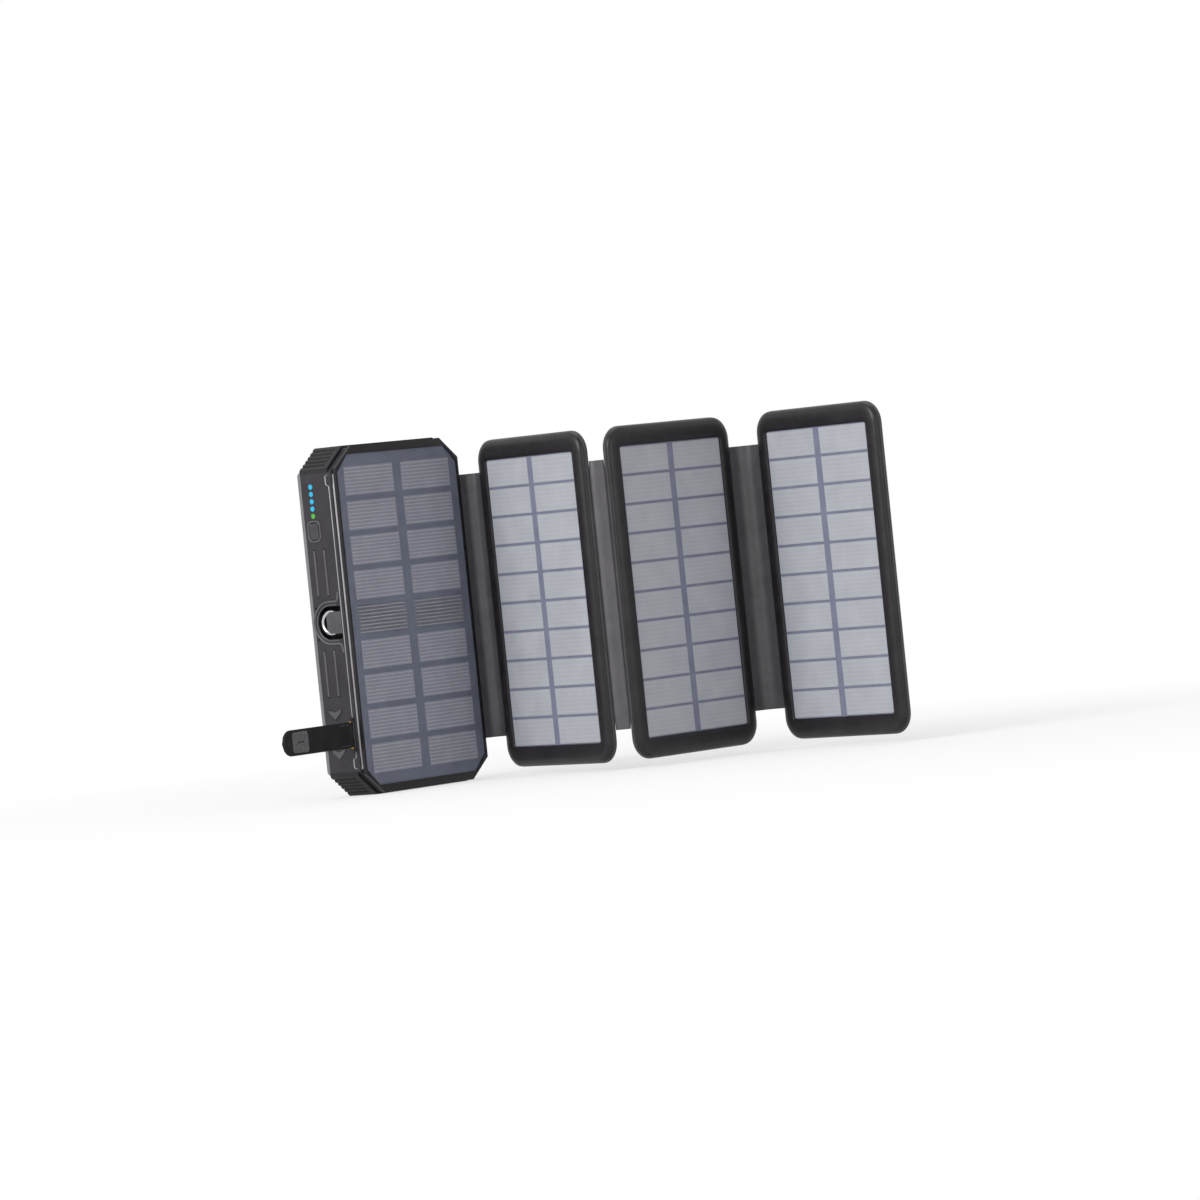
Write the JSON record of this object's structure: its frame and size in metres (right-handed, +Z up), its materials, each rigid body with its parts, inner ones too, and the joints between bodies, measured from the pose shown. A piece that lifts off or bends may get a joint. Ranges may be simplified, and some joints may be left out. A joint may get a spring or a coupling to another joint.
{
  "type": "folding solar power bank",
  "caption": "Rugged battery unit with three fold-out solar panels on fabric hinges, stowed charging leads, rear lamp, charging pad and closing strap.",
  "frame": {"origin": "middle of the battery unit's bottom end, on the face that it stands on", "axes": "+Z up along the battery unit's length, +X along its width towards the first fold, +Y from its solar face to its back"},
  "size_m": [0.2187, 0.2169, 0.158],
  "materials": {
    "casing_rubber": "satin dark grey elastomer",
    "black_bezel": "smooth black",
    "bumper_rubber": "matt black rubber",
    "shell_grey": "satin grey moulding",
    "tub_black": "matt black moulding",
    "grip_mesh": "woven texture grip",
    "lamp_white": "milky diffuser",
    "solar_glass": "clear film",
    "main_sheet": "slate back sheet",
    "main_cell": "silicon with print lines",
    "panel_sheet": "blue grey back sheet",
    "panel_cell": "silicon with print lines",
    "panel_frame": "satin black frame",
    "panel_back": "textured black back",
    "web_fabric": "coated fabric",
    "strap_black": "coated webbing",
    "strap_pad": "grey pad",
    "brass_pin": "polished brass",
    "lead_grey": "soft grey lead",
    "plug_metal": "plated steel",
    "socket_metal": "stamped steel",
    "battery_foil": "laminated foil pouch",
    "board_green": "printed circuit board",
    "chip_black": "moulded packages",
    "coil_copper": "copper winding",
    "ferrite_grey": "ferrite sheet",
    "light_blue": "blue light guide",
    "light_green": "green light guide",
    "key_black": "soft key",
    "tongue_metal": "satin metal"
  },
  "bodies": {
    "unit": {"battery_cell_front": "battery_foil", "battery_cell_rear": "battery_foil", "board_chips": "chip_black", "bottom_bumpers": "bumper_rubber", "bottom_end_cap": "shell_grey", "cable_tub": "tub_black", "charge_light_green": "light_green", "charge_lights_blue": "light_blue", "charging_coil": "coil_copper", "ferrite_sheet": "ferrite_grey", "front_bezel": "black_bezel", "key_switch": "chip_black", "lamp_board": "board_green", "lamp_lens": "lamp_white", "lanyard_cup": "casing_rubber", "lanyard_tongue": "tongue_metal", "lead_roots": "lead_grey", "main_back_sheet": "main_sheet", "main_board": "board_green", "main_solar_cells": "main_cell", "main_solar_glass": "solar_glass", "rear_cover": "shell_grey", "rear_grip_pads": "grip_mesh", "rear_grip_patches": "grip_mesh", "side_board": "board_green", "side_casing": "casing_rubber", "strap_pin": "brass_pin", "top_bumpers": "bumper_rubber", "usb_a_socket": "socket_metal", "usb_c_socket": "socket_metal"},
    "first_inner": {"first_hinge_inner_web": "web_fabric"},
    "first_outer": {"first_hinge_outer_web": "web_fabric"},
    "panel_2": {"panel_2_back_sheet": "panel_sheet", "panel_2_cells": "panel_cell", "panel_2_frame": "panel_frame", "panel_2_shell": "panel_back"},
    "spine": {"second_hinge_spine": "web_fabric"},
    "panel_3": {"panel_3_back_sheet": "panel_sheet", "panel_3_cells": "panel_cell", "panel_3_frame": "panel_frame", "panel_3_shell": "panel_back"},
    "third_inner": {"third_hinge_inner_web": "web_fabric"},
    "third_outer": {"third_hinge_outer_web": "web_fabric"},
    "panel_4": {"panel_4_back_sheet": "panel_sheet", "panel_4_cells": "panel_cell", "panel_4_frame": "panel_frame", "panel_4_shell": "panel_back"},
    "strap_base": {"strap_root": "strap_black"},
    "strap_end": {"strap_tip": "strap_black", "strap_pad": "strap_pad"},
    "usb_a_cable": {"usb_a_lead": "lead_grey", "usb_a_tip": "plug_metal"},
    "eight_pin_cable": {"eight_pin_lead": "lead_grey", "eight_pin_tip": "plug_metal"},
    "usb_c_cable": {"usb_c_lead": "lead_grey", "usb_c_tip": "plug_metal"},
    "micro_usb_cable": {"micro_usb_lead": "lead_grey", "micro_usb_tip": "plug_metal"},
    "port_flap": {"port_cover": "bumper_rubber"},
    "key": {"power_key": "key_black"}
  },
  "joints": [
    {"name": "first_fold_a", "type": "hinge", "parent": "unit", "child": "first_inner", "pos_m": [0.0435, -0.0091, 0.079], "axis": [0, 0, -1], "range_deg": [-20.58, 14.73]},
    {"name": "first_fold_b", "type": "hinge", "parent": "first_inner", "child": "first_outer", "pos_m": [0.05071, -0.01181, 0.079], "axis": [0, 0, -1], "range_deg": [-63.75, 45.64]},
    {"name": "first_fold_c", "type": "hinge", "parent": "first_outer", "child": "panel_2", "pos_m": [0.05147, -0.01947, 0.079], "axis": [0, 0, -1], "range_deg": [-20.58, 14.73]},
    {"name": "third_fold_a", "type": "hinge", "parent": "panel_3", "child": "third_inner", "pos_m": [0.11716, -0.10856, 0.079], "axis": [0, 0, -1], "range_deg": [-17.67, 14.62]},
    {"name": "third_fold_b", "type": "hinge", "parent": "third_inner", "child": "third_outer", "pos_m": [0.12674, -0.11205, 0.079], "axis": [0, 0, -1], "range_deg": [-63.15, 52.25]},
    {"name": "third_fold_c", "type": "hinge", "parent": "third_outer", "child": "panel_4", "pos_m": [0.12796, -0.12217, 0.079], "axis": [0, 0, -1], "range_deg": [-17.67, 14.62]},
    {"name": "second_fold_a", "type": "hinge", "parent": "panel_2", "child": "spine", "pos_m": [0.02972, -0.10122, 0.079], "axis": [0, 0, 1], "range_deg": [-51.3, 38.7]},
    {"name": "second_fold_b", "type": "hinge", "parent": "spine", "child": "panel_3", "pos_m": [0.03263, -0.10517, 0.079], "axis": [0, 0, 1], "range_deg": [-51.3, 38.7]},
    {"name": "strap_swing", "type": "hinge", "parent": "unit", "child": "strap_base", "pos_m": [-0.0443, -0.0072, 0.0281], "axis": [0, 0, 1], "range_deg": [0, 90]},
    {"name": "strap_bend", "type": "hinge", "parent": "strap_base", "child": "strap_end", "pos_m": [-0.0729, -0.0072, 0.0281], "axis": [0, 0, 1], "range_deg": [0, 90]},
    {"name": "usb_a_pull", "type": "hinge", "parent": "unit", "child": "usb_a_cable", "pos_m": [-0.01875, 0.0108, 0.0054], "axis": [-1, 0, 0], "range_deg": [0, 90]},
    {"name": "eight_pin_pull", "type": "hinge", "parent": "unit", "child": "eight_pin_cable", "pos_m": [-0.00625, 0.0108, 0.0054], "axis": [-1, 0, 0], "range_deg": [0, 90]},
    {"name": "usb_c_pull", "type": "hinge", "parent": "unit", "child": "usb_c_cable", "pos_m": [0.00625, 0.0108, 0.0054], "axis": [-1, 0, 0], "range_deg": [0, 90]},
    {"name": "micro_usb_pull", "type": "hinge", "parent": "unit", "child": "micro_usb_cable", "pos_m": [0.01875, 0.0108, 0.0054], "axis": [-1, 0, 0], "range_deg": [0, 90]},
    {"name": "port_cover_lift", "type": "hinge", "parent": "unit", "child": "port_flap", "pos_m": [0, 0.00885, 0.1572], "axis": [-1, 0, 0], "range_deg": [0, 100]},
    {"name": "power_key_press", "type": "slide", "parent": "unit", "child": "key", "axis": [1, 0, 0], "range_m": [0, 0.0005], "stiffness_N_per_m": 1500, "springref_m": -0.0002}
  ],
  "couplings": [
    {"joint": "first_fold_a", "follows": "first_fold_b", "ratio": 0.32274},
    {"joint": "first_fold_c", "follows": "first_fold_b", "ratio": 0.32274},
    {"joint": "third_fold_a", "follows": "third_fold_b", "ratio": 0.27986},
    {"joint": "third_fold_c", "follows": "third_fold_b", "ratio": 0.27986},
    {"joint": "second_fold_b", "follows": "second_fold_a", "ratio": 1},
    {"joint": "strap_bend", "follows": "strap_swing", "ratio": 1}
  ]
}
